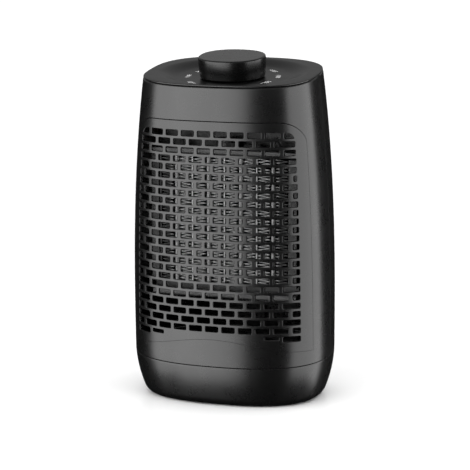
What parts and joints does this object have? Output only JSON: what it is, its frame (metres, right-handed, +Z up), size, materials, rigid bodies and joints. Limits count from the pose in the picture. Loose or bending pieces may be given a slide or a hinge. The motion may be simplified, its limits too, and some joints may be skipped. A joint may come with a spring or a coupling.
{
  "type": "ceramic space heater",
  "caption": "Upright tabletop ceramic fan heater: tapered rounded body, slotted front grille, dished tilted top with one rotary knob, PTC element, axial fan and tip-over switch.",
  "frame": {"origin": "on the table, at the centre of the heater's footprint box", "axes": "+Z up, -Y out of the front grille, +X to the right as seen from the front"},
  "size_m": [0.1444, 0.1117, 0.2485],
  "materials": {
    "shell": "satin, finely textured charcoal",
    "grille": "satin, finely textured charcoal",
    "panel": "satin charcoal",
    "knob": "satin black",
    "frame": "matt, glass-filled",
    "rubber": "matt",
    "aluminium": "mill finish",
    "steel": "zinc plated",
    "lamination": "varnished electrical steel",
    "copper": "varnished copper wire",
    "bronze": "sintered bronze",
    "brass": "bright",
    "switch": "moulded, black",
    "fan": "moulded, dark grey"
  },
  "bodies": {
    "heater": {"base_cover": "shell", "base_screw_1": "steel", "base_screw_2": "steel", "base_screw_3": "steel", "base_screw_4": "steel", "bush_front": "bronze", "bush_rear": "bronze", "cord_gland": "rubber", "element_frame_bottom": "frame", "element_frame_top": "frame", "element_rail_left": "frame", "element_rail_right": "frame", "element_terminal_left": "brass", "element_terminal_right": "brass", "fan_baffle": "frame", "fan_shroud": "frame", "fin_pack_1": "aluminium", "fin_pack_2": "aluminium", "fin_pack_3": "aluminium", "fin_pack_4": "aluminium", "fin_pack_5": "aluminium", "foot_1": "rubber", "foot_2": "rubber", "foot_3": "rubber", "foot_4": "rubber", "front_grille": "grille", "front_shell": "shell", "motor_bracket_front": "steel", "motor_bracket_rear": "steel", "motor_coil": "copper", "motor_core": "lamination", "motor_screw_left": "steel", "motor_screw_right": "steel", "plunger_spring": "steel", "ptc_tube_1": "aluminium", "ptc_tube_2": "aluminium", "ptc_tube_3": "aluminium", "ptc_tube_4": "aluminium", "rear_grille": "grille", "rear_shell": "shell", "rotary_switch": "switch", "switch_nut": "steel", "terminal_block": "switch", "thermal_cutout": "frame", "thermal_fuse": "rubber", "tip_housing": "frame", "tip_microswitch": "switch", "top_panel": "panel"},
    "knob": {"control_knob": "knob", "knob_shaft": "steel"},
    "fan": {"fan_impeller": "fan", "motor_rotor": "lamination", "motor_shaft": "steel"},
    "plunger": {"tip_plunger": "switch"},
    "lever": {"tip_lever": "steel"}
  },
  "joints": [
    {"name": "knob_turn", "type": "hinge", "parent": "heater", "child": "knob", "pos_m": [0, -0.008, 0.23301], "axis": [0, -0.127, 0.9919], "range_deg": [-135, 135]},
    {"name": "fan_spin", "type": "hinge", "parent": "heater", "child": "fan", "pos_m": [0, 0.0015, 0.127], "axis": [0, -1, 0], "continuous": true},
    {"name": "tip_drop", "type": "slide", "parent": "heater", "child": "plunger", "axis": [0, 0, -1], "range_m": [0, 0.005], "stiffness_N_per_m": 40, "springref_m": 0.012, "deforming": ["plunger_spring"]},
    {"name": "lever_turn", "type": "hinge", "parent": "heater", "child": "lever", "pos_m": [0.0115, 0, 0.0295], "axis": [0, -1, 0], "range_deg": [0, 20]}
  ],
  "couplings": [
    {"joint": "lever_turn", "follows": "tip_drop", "rad_per_m": 68}
  ]
}
